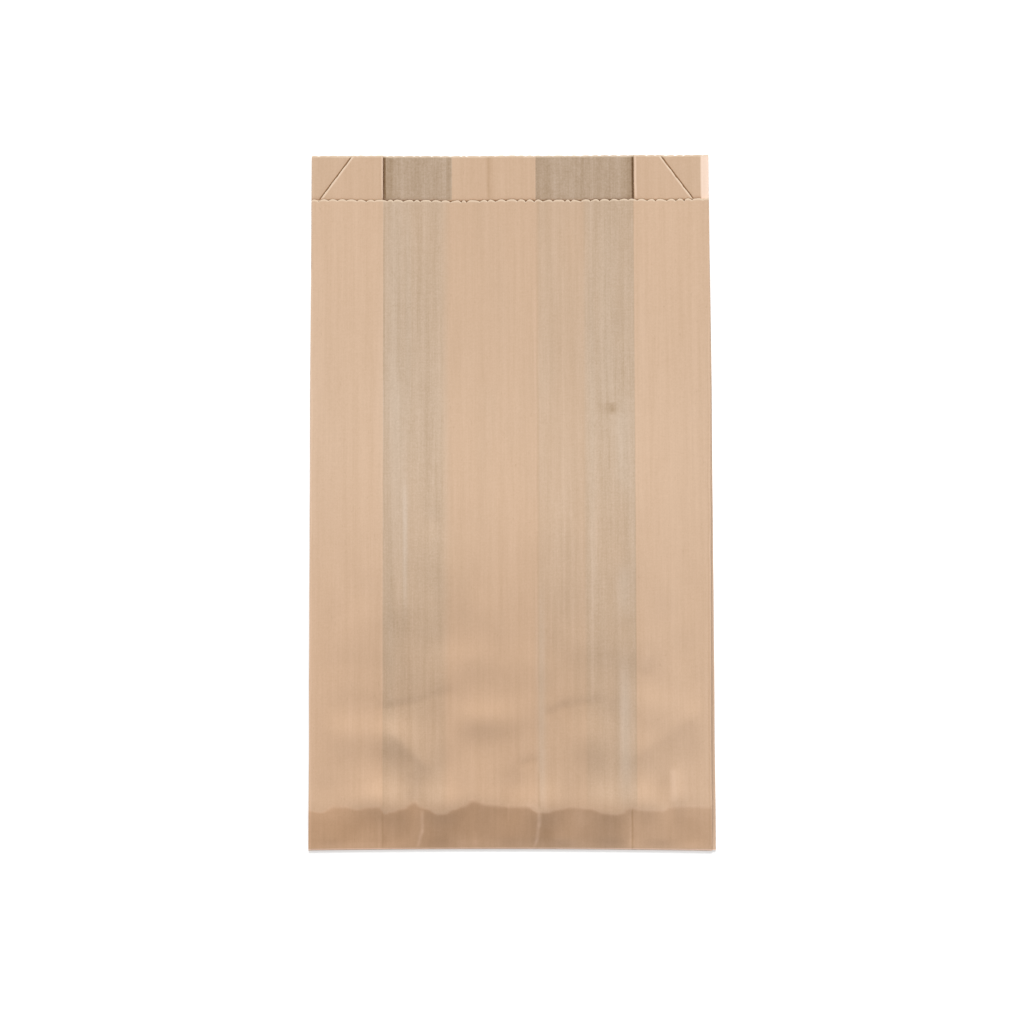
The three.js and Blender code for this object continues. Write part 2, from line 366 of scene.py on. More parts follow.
CREASES: tuple[Crease, ...] = tuple(Crease(*row) for row in (
    ((-56, 60.3), (-37, 63.2), 1.1, 5, -0.2, -0.02), ((-39, 63), (-24, 68), 1.2, 4, -0.13, -0.01),
    ((-53, 52), (-34, 33), 4.5, 3, 0.42, 0.01), ((-32, 65), (-32.5, 45), 0.8, 0.8, -0.08, -0.04),
    ((13.5, 57), (24, 61.5), 1.1, 5, -0.2, -0.02), ((20, 60.5), (38, 63), 1.3, 5, -0.15, -0.01),
    ((3, 35.5), (11, 38), 1.3, 2, -0.16, -0.05), ((49, 38), (81, 60), 9, 5.5, 0.6, 0),
    ((56, 76), (57.5, 84), 1.2, 1.2, 0.12, 0.04), ((67.8, 20), (68.3, 34), 1, 1.6, 0.12, 0.05),
    ((-43.2, 22), (-42.6, 36), 1, 2.4, 0.16, 0.02), ((-37.8, 16), (-39, 3), 0.9, 0.9, 0.2, 0.04),
    ((11.3, 15.5), (9.8, 2), 0.8, 0.8, 0.2, 0.03), ((50.4, 18), (50.4, 1), 0.8, 0.8, -0.2, -0.02),
    ((-74, 4), (-57.5, 13.5), 3, 3, 0, -0.06), ((-75, 13), (-75, 2), 9, 9, 0, -0.045),
    ((77, 13), (77, 2), 8, 8, 0, -0.05), ((-80, 2.2), (-57, 2.4), 1.3, 1.3, 0, 0.05),
    ((-46, 15), (-43, 6), 2.5, 2.5, 0, -0.03), ((-26, 6.5), (-16.5, 18), 2.2, 2.2, -0.05, -0.07),
    ((-36, 5), (-27, 4), 2, 2, 0, -0.04), ((-24, 2.2), (-14, 3), 1.3, 1.3, 0.04, 0.06),
    ((-9, 14), (6, 12), 3, 4, 0, -0.03), ((-5, 21.5), (7, 21), 2.5, 2.5, 0, -0.03),
    ((-21, 5), (-12, 8), 3, 3, 0, -0.03), ((13.4, 2.5), (14.6, 9), 1.5, 1.5, 0, -0.07),
    ((-33, 11.5), (-26, 12.5), 2.5, 2.5, 0, 0.05), ((18.5, 3.6), (27, 1.6), 1.6, 1.2, 0.06, 0.07),
    ((14, 13), (20, 13), 2.5, 2.5, 0, 0.05), ((27, 16.5), (31, 9.5), 2, 2, 0, 0.07),
    ((36, 12), (46, 11), 2.5, 2.5, 0, -0.035), ((62, 20), (62.5, 31), 3.5, 3, 0, -0.045),
    ((6, 19), (11, 17), 1, 1, 0, 0.08), ((66, 13), (78, 12), 2.5, 2.5, 0, -0.03),
))

RIPPLES: tuple[Ripple, ...] = (Ripple(11, 70, 1.3, 0.10), Ripple(4.5, 30, 7.9, 0.03))
LUMPS = Ripple(14, 16, 4.1, 0.30)


@dataclass(frozen=True)
class Haze:
    """A place where the layers part, so that the paper looks greyer. Lengths are as in a pillow."""

    across: float
    along: float
    reach_across: float
    reach_along: float
    strength: float

    def share(self, x: float, y: float) -> float:
        """Return how hazy the paper is at a point of the front, in millimetres."""
        near = math.exp(-(((x - self.across) / self.reach_across) ** 2))
        return self.strength * near * math.exp(-(((y - self.along) / self.reach_along) ** 4))


HAZES: tuple[Haze, ...] = tuple(Haze(*row) for row in (
    (-49.5, 245, 4, 55, 0.35), (-48.5, 165, 4.5, 40, 0.5), (-44.8, 129, 1.1, 27, 0.85),
    (-51.5, 95, 2, 38, 0.35), (47.5, 172, 3.2, 20, 0.55), (47.5, 110, 3.2, 10, 0.65),
    (47.8, 50, 2.8, 28, 0.9), (12.4, 62, 1.8, 46, 0.7), (41, 225, 4, 50, 0.25),
    (34.5, 190, 1.2, 90, 0.3), (-43.6, 232, 1, 50, 0.35), (14, 0, 34, 4.5, 0.3),
))


@dataclass
class PaperBag:
    """The bag: the folded sheet with its teeth, creases and thickness."""

    sizes: FoldSizes
    spring: Spring = field(default_factory=Spring)
    front_columns: int = 170
    back_columns: int = 20
    leaf_columns: int = 6
    leaf_crowding: float = 2.5
    fold_columns: int = 4
    lap_columns: int = 6
    bend_rows: int = 6
    flap_rows: int = 5
    flap_cuts: int = 2
    mouth_rows: int = 12
    mouth_rows_start: float = 25.0 * MM
    tooth_room: float = 1.35
    rim: float = 0.45 * MM
    side_strip: float = 2.6 * MM
    band_softness: Span = (0.6 * MM, 1.9 * MM)
    band_heights: Span = (15.5 * MM, 19.5 * MM)
    crisp_angle: float = math.radians(50)

    def __post_init__(self) -> None:
        """Lay out the strips of the flat sheet and the rows along it."""
        right = self.side_strips(Side.RIGHT)
        left = self.side_strips(Side.LEFT)
        self.strips: list[Strip] = [
            *right,
            Strip(Kind.FRONT, Side.RIGHT, self.front_columns, 2),
            *reversed(left),
            Strip(Kind.LAP_RAMP, Side.LEFT, 1, 3),
            Strip(Kind.LAP, Side.RIGHT, self.lap_columns, 14),
        ]
        self.row_zones: tuple[tuple[float, int], ...] = (
            (30 * MM, 40),
            (110 * MM, 60),
            (self.sizes.length - self.sizes.lip - self.mouth_rows_start, 46),
        )

    def side_strips(self, side: Side) -> list[Strip]:
        """Lay out the strips of one side, from the middle of the back to the front.

        Args:
            side: The side.

        Returns:
            The strips.
        """
        return [
            Strip(Kind.BACK, side, self.back_columns, 12),
            Strip(Kind.BACK_FOLD, side, self.fold_columns, 0),
            Strip(Kind.LOWER_LEAF, side, self.leaf_columns, 11),
            Strip(Kind.INNER_FOLD, side, self.fold_columns, 0),
            Strip(Kind.UPPER_LEAF, side, 2 * self.leaf_columns, 5),
            Strip(Kind.FRONT_FOLD, side, self.fold_columns, 0),
        ]

    @property
    def columns(self) -> int:
        """Number of columns of the whole flat sheet."""
        return sum(strip.columns for strip in self.strips)

    @property
    def rows(self) -> int:
        """Number of rows of the flat sheet, the flap left out."""
        return sum(count for _, count in self.row_zones) + self.mouth_rows + 1

    @property
    def bend_radius(self) -> float:
        """Radius of the bottom fold's outside: half of five papers and the three gaps between four."""
        return 2.5 * self.sizes.paper + 1.5 * self.spring.pressed_gap

    @property
    def inner_fold(self) -> float:
        """Distance of a gusset's inner fold from the bag's middle."""
        return self.sizes.width / 2 - self.sizes.gusset_depth

    def locate(self, column: float) -> tuple[Strip, float]:
        """Find the strip that a column of the flat sheet lies in.

        Args:
            column: Place across the flat sheet, counted in columns.

        Returns:
            The strip, and the share of the way through it.
        """
        start = 0
        for strip in self.strips:
            if column <= start + strip.columns:
                break
            start += strip.columns
        share = (column - start) / strip.columns
        backwards = strip.side is Side.LEFT and strip.kind is not Kind.LAP_RAMP
        return strip, 1.0 - share if backwards else share

    def ridge(self, x: float) -> float:
        """Return how far the ridge lies from the bottom fold, at a place across the bag.

        Args:
            x: Across the bag.

        Returns:
            The distance along the bag.
        """
        across = x / MM
        for (x0, y0), (x1, y1) in zip(RIDGE_LINE, RIDGE_LINE[1:]):
            if across <= x1:
                return mix(y0, y1, smooth(across, x0, x1)) * MM
        return RIDGE_LINE[-1][1] * MM

    def bottom_shift(self, x: float) -> float:
        """Return how far the bottom fold lies above a straight line, at a place across the bag."""
        share = 2.0 * x / self.sizes.width
        return self.sizes.bottom_bow * (1.0 - share * share) - self.sizes.bottom_skew * share

    def opening(self, x: float, y: float) -> float:
        """Tell how far the bag is open between the pressed bottom fold, 0, and the ridge, 1."""
        run = min(max((y - self.bend_radius) / (self.ridge(x) - self.bend_radius), 0.0), 1.0)
        return 1.0 - (1.0 - run) ** self.spring.ridge_sharpness

    def fullness(self, y: float) -> float:
        """Tell how full the bag is, from 0 in the flat upper part to 1 in the lower one."""
        spring = self.spring
        return 1.0 - smooth(y, spring.full_length, spring.full_length + spring.fade_length)

    def curl(self, x: float, y: float) -> float:
        """Return how far the mouth end curls up off the table.

        Args:
            x: Across the bag.
            y: Along the bag.

        Returns:
            The height.
        """
        spring = self.spring
        run = smooth(y, self.sizes.length - spring.curl_length, self.sizes.length + spring.curl_length)
        variation = spring.curl_variation * uneven(x / spring.curl_wave_length, Seed.CURL.value)
        return 2.0 * spring.lip_curl * run * max(spring.curl_mean + variation, 0.0)

    def back_level(self, y: float) -> float:
        """Return the height of the middle of the back's paper, which lies on the flap at the bottom.

        Args:
            y: Along the bag.

        Returns:
            The height over the table.
        """
        sizes = self.sizes
        leaves = sizes.flap_length + sizes.flap_clearance
        on_flap = 1.0 - smooth(y, leaves, leaves + sizes.flap_step)
        return sizes.paper / 2 + (sizes.paper + sizes.flap_glue) * on_flap

    def fold_gap(self, x: float, y: float) -> float:
        """Return the gap inside a long fold."""
        return mix(self.spring.pressed_gap, self.spring.fold_gap, self.opening(x, y))

    def side_gap(self, x: float, y: float) -> float:
        """Return the height from the back's inside to the front's inside, at the side folds.

        Args:
            x: Across the bag.
            y: Along the bag.

        Returns:
            The gap.
        """
        spring = self.spring
        slit = mix(spring.mouth_slit, spring.body_slit, self.fullness(y))
        slit = mix(spring.pressed_gap, slit, self.opening(x, y))
        return 2 * self.sizes.paper + 2 * self.fold_gap(x, y) + slit

    def front_gap(self, x: float, y: float) -> float:
        """Return the height from the back's inside to the front's inside, at any place.

        Args:
            x: Across the bag.
            y: Along the bag.

        Returns:
            The gap, without creases and pillows.
        """
        spring = self.spring
        full = self.fullness(y)
        opening = self.opening(x, y)
        pressed = 2 * self.sizes.paper + 3 * spring.pressed_gap
        middle = mix(pressed, mix(spring.mouth_sag, spring.body_belly, full), opening)
        between = 1.0 - smooth(abs(x), self.inner_fold - spring.sag_run, self.inner_fold)
        crown = math.exp(-(((y - spring.crown_place) / spring.crown_reach) ** 2)) * spring.crown_rise
        past_ridge = y - self.ridge(x) - spring.roll_past_ridge
        roll = math.exp(-((past_ridge / spring.roll_reach) ** 2)) * spring.roll_rise
        inwards = 1.0 - smooth(abs(x), self.inner_fold, self.sizes.width / 2)
        return mix(self.side_gap(x, y), middle, between) + (crown + roll) * opening * inwards

    def front_relief(self, x: float, y: float) -> float:
        """Return the height of the pillows, creases and ripples of the front.

        Args:
            x: Across the bag.
            y: Along the bag.

        Returns:
            The height, below 0 in a hollow.
        """
        across, along = x / MM, y / MM
        relief = sum(pillow.height(across, along) for pillow in PILLOWS)
        relief += sum(crease.rise * crease.strength(across, along) for crease in CREASES)
        relief += sum(ripple.height(across, along) for ripple in RIPPLES)
        relief += LUMPS.height(across, along) * self.fullness(y) ** 2
        edge = 1.0 - smooth(abs(across), *RELIEF_SIDE_FADE)
        bottom = smooth(along, *RELIEF_BOTTOM_FADE)
        return relief * MM * edge * bottom

    def painted_crease_light(self, x: float, y: float) -> float:
        """Return how much lighter or darker the creases paint the front's paper, as painted shade and
        highlight.
        """
        return sum(crease.painted_crease_light * crease.strength(x / MM, y / MM) for crease in CREASES)

    def section(self, strip: Strip, share: float, y: float) -> Span:
        """Find a point of the tube's cross-section, in the middle of the paper.

        Args:
            strip: The strip of the sheet.
            share: Share of the way through the strip, from the back to the front.
            y: Place along the bag.

        Returns:
            The point's X and Z.
        """
        sizes = self.sizes
        side = strip.side.value
        edge = side * sizes.width / 2
        radius = (self.fold_gap(edge, y) + sizes.paper) / 2
        back = self.back_level(y)
        front = back + self.side_gap(edge, y) + sizes.paper
        waver = sizes.fold_waver * uneven(side * Seed.FOLDS.value, y / sizes.fold_waver_length)
        outer = sizes.width / 2 - sizes.paper / 2 - radius + waver
        at_inner = back + (self.front_gap(side * self.inner_fold, y) + sizes.paper) / 2
        inner = self.inner_fold + radius + sizes.paper / 2
        step = 0.0
        if strip.side is Side.LEFT:
            inner -= sizes.left_inset
        else:
            step = sizes.side_step * (1.0 - smooth(y, 0.0, sizes.side_step_end))
            outer += sizes.right_bulge * (1.0 - smooth(y, *sizes.bulge_fade))
            inner -= sizes.right_inset
        angle = math.pi * (share - 0.5)
        round_x, round_z = radius * math.cos(angle), radius * math.sin(angle)
        if strip.kind is Kind.BACK:
            start = sizes.lap_left if strip.side is Side.RIGHT else sizes.lap_left - sizes.lap_ramp
            return mix(start, side * outer, share), back
        if strip.kind is Kind.BACK_FOLD:
            return side * (outer + round_x), back + radius + round_z
        if strip.kind is Kind.LOWER_LEAF:
            share **= self.leaf_crowding
            return side * mix(outer, inner, share), mix(back + 2 * radius, at_inner - radius, share)
        if strip.kind is Kind.INNER_FOLD:
            return side * (inner - round_x), at_inner + round_z
        if strip.kind is Kind.UPPER_LEAF:
            x = side * mix(inner, outer - step, share)
            return x, mix(at_inner + radius, front - 2 * radius, share)
        if strip.kind is Kind.FRONT_FOLD:
            return side * (outer - step + round_x), front - radius + round_z
        if strip.kind is Kind.FRONT:
            x = mix(outer - step, -outer, share)
            return x, back + sizes.paper + self.front_gap(x, y) + self.front_relief(x, y)
        if strip.kind is Kind.LAP_RAMP:
            x = mix(sizes.lap_left - sizes.lap_ramp, sizes.lap_left, share)
            return x, back + share * sizes.paper
        return mix(sizes.lap_left, sizes.lap_right, share), back + sizes.paper

    def mouth_edge(self, strip: Strip, x: float) -> float:
        """Find where the knife's cut ends a strip, at the tips of its teeth.

        Args:
            strip: The strip of the sheet.
            x: Place across the bag.

        Returns:
            The place along the bag.
        """
        sizes = self.sizes
        place = (x - sizes.knife_shift) / sizes.mouth_waver_length
        wave = sizes.mouth_waver * uneven(place, Seed.MOUTH.value)
        end = sizes.length + sizes.end_waver_share * wave
        step = sizes.length - sizes.lip + wave
        if strip.kind in (Kind.FRONT, Kind.FRONT_FOLD):
            return step
        if strip.kind is not Kind.UPPER_LEAF:
            return end
        side = strip.side.value
        inwards = sizes.width / 2 - side * (x - sizes.knife_shift)
        share = (inwards - sizes.corner_at_front) / (sizes.corner_at_end - sizes.corner_at_front)
        return mix(step, end, min(max(share, 0.0), 1.0))

    def lip_line(self, x: float) -> float:
        """Return the place along the bag of the front's teeth tips."""
        return self.mouth_edge(Strip(Kind.FRONT, Side.RIGHT, 1, 0), x)

    def tooth(self, x: float, deepest: float) -> float:
        """Find how far the knife's edge lies back from the tips of its teeth.

        Args:
            x: Place across the bag.
            deepest: The depth of the teeth.

        Returns:
            The distance at that place.
        """
        sizes = self.sizes
        drift = sizes.tooth_drift * uneven(x / sizes.tooth_drift_length, Seed.TOOTH_PLACE.value)
        place = (x - sizes.knife_shift) / sizes.tooth_pitch + drift
        number = math.floor(place)
        share = place - number
        change = uneven(number * sizes.tooth_change, Seed.TOOTH_DEPTH.value)
        return deepest * (1.0 + sizes.tooth_variation * change) * (2.0 * share - 1.0) ** 2

    def along(self, row: float, edge: float) -> float:
        """Find the place along the bag of a row of the flat sheet.

        Args:
            row: The row, counted from the bottom.
            edge: Where the knife's cut ends this column, at the tips of its teeth.

        Returns:
            The place along the bag.
        """
        start, count = self.bend_radius, 0
        for end, rows in self.row_zones:
            if row <= count + rows:
                return mix(start, end, (row - count) / rows)
            start, count = end, count + rows
        if row > count + self.mouth_rows:
            return edge
        last = edge - self.tooth_room * self.sizes.tooth_depth - self.rim
        return mix(start, last, (row - count) / self.mouth_rows)

    def flat_sheet(self) -> BMesh:
        """Make the flat sheet, with its columns counted along X and its rows along Y.

        Returns:
            The sheet's mesh.
        """
        bm = bmesh.new()
        bmesh.ops.create_grid(bm, x_segments=self.columns, y_segments=self.rows, size=0.5)
        bmesh.ops.translate(bm, verts=bm.verts, vec=(0.5, 0.5, 0.0))
        bmesh.ops.scale(bm, verts=bm.verts, vec=(self.columns, self.rows, 1.0))
        return bm

    def cut_teeth(self, bm: BMesh) -> None:
        """Cut the mouth's edge of the flat sheet finely enough for the knife's teeth.

        Args:
            bm: The sheet's mesh.
        """
        start = 0
        for strip in self.strips:
            end = start + strip.columns
            if strip.teeth_cuts:
                edges = [
                    edge for edge in bm.edges
                    if all(v.co.y > self.rows - 0.5 for v in edge.verts)
                    and start < (edge.verts[0].co.x + edge.verts[1].co.x) / 2 < end
                ]
                bmesh.ops.subdivide_edges(bm, edges=edges, cuts=strip.teeth_cuts)
            start = end

    def front_bottom(self, bm: BMesh) -> list[BMEdge]:
        """Find the edges at the bottom of the front, in the flat sheet.

        Args:
            bm: The sheet's mesh.

        Returns:
            The edges.
        """
        before = 0
        for strip in self.strips:
            if strip.kind is Kind.FRONT:
                break
            before += strip.columns
        after = before + self.front_columns
        return [
            edge for edge in bm.edges
            if all(v.co.y < 0.5 and before - 0.5 < v.co.x < after + 0.5 for v in edge.verts)
        ]

    def fold(self, bm: BMesh) -> None:
        """Fold the flat sheet into the bag's tube, and note its cut edges and the painted light and shade
        of its creases.

        Args:
            bm: The sheet's mesh.
        """
        names = ("cut", "painted_crease_light", "band", "haze", "outside", "past_lip")
        cut, painted_light, banded, hazy, outside, past_lip = (bm.verts.layers.float.new(name) for name in names)
        side_strip = self.sizes.width / 2 - self.side_strip
        for vert in bm.verts:
            strip, share = self.locate(vert.co.x)
            row = vert.co.y
            on_front = strip.kind in (Kind.FRONT, Kind.FRONT_FOLD)
            across, _ = self.section(strip, share, self.sizes.length)
            y = self.along(row, self.mouth_edge(strip, across))
            if row > self.rows - 0.5:
                deepest = self.sizes.tooth_depth if on_front else self.sizes.end_tooth_depth
                y -= self.tooth(across, deepest)
                vert[cut] = 1.0
            x, z = self.section(strip, share, y)
            vert[past_lip] = OUT_OF_SHADE if on_front else (y - self.lip_line(x)) / MM
            if strip.kind in (Kind.BACK_FOLD, Kind.LOWER_LEAF) and x > side_strip:
                vert[outside] = 1.0
            if strip.kind is Kind.FRONT:
                vert[painted_light] = self.painted_crease_light(x, y)
                vert[hazy] = sum(haze.share(x / MM, y / MM) for haze in HAZES)
            if on_front:
                soft = mix(*self.band_softness, smooth(self.ridge(x), *self.band_heights))
                vert[banded] = smooth(self.ridge(x) - y, -soft, soft)
            bow = self.bottom_shift(x) * (1.0 - smooth(y, 0.0, self.sizes.bow_fade))
            vert.co = (x, y + bow, z + self.curl(x, y))

    def fold_flap(self, bm: BMesh, edges: Iterable[BMEdge]) -> None:
        """Turn the longer front round the bottom and lay it on the back as a flap.

        Args:
            bm: The folded sheet.
            edges: The edges at the bottom of the front.
        """
        cut = bm.verts.layers.float["cut"]
        edges = list(edges)
        for _ in range(self.bend_rows):
            verts, edges = self.extend(bm, edges)
            self.turn_under(verts)
        straight = self.sizes.flap_length - self.bend_radius - self.sizes.tooth_depth - self.rim
        for _ in range(self.flap_rows):
            verts, edges = self.extend(bm, edges)
            bmesh.ops.translate(bm, verts=verts, vec=(0.0, straight / self.flap_rows, 0.0))
        _, edges = self.extend(bm, edges)
        divided = bmesh.ops.subdivide_edges(bm, edges=edges, cuts=self.flap_cuts)["geom_inner"]
        ends = {v for edge in edges for v in edge.verts}
        ends.update(v for v in divided if isinstance(v, BMVert))
        for vert in ends:
            vert.co.y += self.sizes.tooth_depth + self.rim - self.tooth(vert.co.x, self.sizes.tooth_depth)
            vert[cut] = 1.0

    def turn_under(self, verts: Iterable[BMVert]) -> None:
        """Turn a row of vertices one step further round the bottom fold, wherever the fold lies there.

        Args:
            verts: The row.
        """
        turn = Matrix.Rotation(math.pi / self.bend_rows, 3, "X")
        for vert in verts:
            middle = self.bend_radius + self.bottom_shift(vert.co.x)
            centre = Vector((vert.co.x, middle, self.bend_radius))
            vert.co = centre + turn @ (vert.co - centre)

    @staticmethod
    def extend(
        bm: BMesh, edges: Sequence[BMEdge]
    ) -> tuple[list[BMVert], list[BMEdge]]:
        """Extrude a row of edges in place.

        Args:
            bm: The mesh.
            edges: The row of edges.

        Returns:
            The new row's vertices and edges.
        """
        grown = bmesh.ops.extrude_edge_only(bm, edges=edges)["geom"]
        verts = [item for item in grown if isinstance(item, BMVert)]
        rim = set(verts)
        new_edges = [
            item for item in grown
            if isinstance(item, BMEdge) and rim.issuperset(item.verts)
        ]
        return verts, new_edges

    def thicken(self, bm: BMesh) -> None:
        """Give the folded sheet the paper's thickness, with crisp cut edges.

        Args:
            bm: The sheet's mesh.
        """
        bmesh.ops.recalc_face_normals(bm, faces=bm.faces)
        bm.normal_update()
        half = self.sizes.paper / 2
        for vert in bm.verts:
            vert.co += vert.normal * half
        bmesh.ops.solidify(bm, geom=bm.faces, thickness=self.sizes.paper)
        bm.normal_update()
        for face in bm.faces:
            face.smooth = True
        for edge in bm.edges:
            edge.smooth = edge.calc_face_angle(0.0) < self.crisp_angle

    def build(self, material: bpy.types.Material) -> bpy.types.Object:
        """Make the bag.

        Args:
            material: The paper.

        Returns:
            The finished piece, lying on the table at the frame's place.
        """
        bm = self.flat_sheet()
        bottom = self.front_bottom(bm)
        self.cut_teeth(bm)
        self.fold(bm)
        self.fold_flap(bm, bottom)
        self.thicken(bm)
        bmesh.ops.translate(bm, verts=bm.verts, vec=(0.0, -self.sizes.length / 2, 0.0))
        piece = placed_mesh("folded_bag", bm, material)
        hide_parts(CAD_NODE)
        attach(piece, "root")
        return piece


@dataclass(frozen=True)
class Fade:
    """A smooth change of a value, from `before` at `low` to `after` at `high`."""

    low: float
    high: float
    before: float = 0.0
    after: float = 1.0


@dataclass(frozen=True)
class Pattern:
    """A random pattern: its features for each millimetre along X, Y and Z, and what it does."""

    scale: tuple[float, float, float]
    detail: float
    strength: float = 0.0
    bump: float = 0.0
    roughness: float = 0.0


class Graph:
    """A material's node tree, with short calls for the nodes that the finishes use."""

    def __init__(self, name: str) -> None:
        """Make an empty node tree in a new material.

        Args:
            name: The material's name.
        """
        self.material = bpy.data.materials.new(name)
        self.material.use_nodes = True
        self.tree = self.material.node_tree
        self.tree.nodes.clear()

    def node(self, kind: str, **settings: object) -> bpy.types.Node:
        """Add a node.

        Args:
            kind: The node's type, such as ShaderNodeMath.
            **settings: Its settings, by name.

        Returns:
            The new node.
        """
        made = self.tree.nodes.new(kind)
        for name, setting in settings.items():
            setattr(made, name, setting)
        return made

    def finished(self, surface: Socket) -> bpy.types.Material:
        """Give the material its surface, and return it."""
        self.plug(surface, self.node("ShaderNodeOutputMaterial").inputs["Surface"])
        return self.material

    def plug(self, value: object, socket: Socket) -> None:
        """Link a socket to an input, or set the input to a plain value.

        Args:
            value: The socket or the plain value.
            socket: The input.
        """
        if isinstance(value, bpy.types.NodeSocket):
            self.tree.links.new(value, socket)
        else:
            socket.default_value = value

    def result(self, kind: str, *values: object, **settings: object) -> Socket:
        """Add a node, fill its inputs in order and return its first output.

        Args:
            kind: The node's type.
            *values: Its inputs.
            **settings: Its settings, by name.

        Returns:
            Its first output.
        """
        made = self.node(kind, **settings)
        for value, socket in zip(values, made.inputs):
            self.plug(value, socket)
        return made.outputs[0]

    def math(self, operation: str, *values: Value) -> Socket:
        """Add a maths node.

        Args:
            operation: Its operation, such as ADD.
            *values: Its inputs in order.

        Returns:
            Its result.
        """
        return self.result("ShaderNodeMath", *values, operation=operation)

    def fade(self, value: Value, fade: Fade) -> Socket:
        """Map a value through a smooth step.

        Args:
            value: The value.
            fade: The step.

        Returns:
            The result.
        """
        values = (value, fade.low, fade.high, fade.before, fade.after)
        return self.result("ShaderNodeMapRange", *values, interpolation_type="SMOOTHSTEP")

    def ramp(self, value: Value, low: float, high: float) -> Socket:
        """Return 0 up to low, 1 from high on, and a straight rise between them."""
        return self.result("ShaderNodeMapRange", value, low, high)

    def window(self, value: Value, low: float, high: float, soft: float) -> Socket:
        """Return 1 between low and high and 0 outside them, with soft ends.

        Args:
            value: The value.
            low: The middle of the rise.
            high: The middle of the fall.
            soft: The length of each.

        Returns:
            The result.
        """
        rise = self.fade(value, Fade(low - soft / 2, low + soft / 2))
        fall = self.fade(value, Fade(high - soft / 2, high + soft / 2, 1.0, 0.0))
        return self.math("MULTIPLY", rise, fall)

    def noise(self, place: Socket, pattern: Pattern) -> Socket:
        """Add a noise with its own scale along each axis.

        Args:
            place: The coordinates, in millimetres.
            pattern: The noise's scale and detail.

        Returns:
            The noise, about 0.5 in its middle.
        """
        stretched = self.result("ShaderNodeVectorMath", place, pattern.scale, operation="MULTIPLY")
        made = self.node("ShaderNodeTexNoise")
        made.inputs["Scale"].default_value = 1.0
        made.inputs["Detail"].default_value = pattern.detail
        self.plug(stretched, made.inputs["Vector"])
        return made.outputs["Fac"]

    def blend(self, share: Value, first: Paint, second: Paint, how: str = "MIX") -> Socket:
        """Blend two colours.

        Args:
            share: How much of the blend shows.
            first: The first colour.
            second: The second colour.
            how: The kind of blend, such as MULTIPLY.

        Returns:
            The blended colour.
        """
        made = self.node("ShaderNodeMix", data_type="RGBA", blend_type=how)
        self.plug(share, made.inputs[0])
        for colour, socket in ((first, made.inputs[6]), (second, made.inputs[7])):
            self.plug(colour if isinstance(colour, bpy.types.NodeSocket) else (*colour, 1.0), socket)
        return made.outputs[2]

    def attribute(self, name: str) -> Socket:
        """Read a number that the mesh holds at its vertices."""
        return self.node("ShaderNodeAttribute", attribute_name=name).outputs["Fac"]


@dataclass(frozen=True)
class Mark:
    """A thin lengthwise line painted lighter or darker on the paper, in millimetres from the middle of
    the bottom fold.

    It leans to the right by `lean` for each millimetre along the bag.
    """

    across: float
    width: float
    strength: float
    start: float
    end: float
    lean: float = 0.0


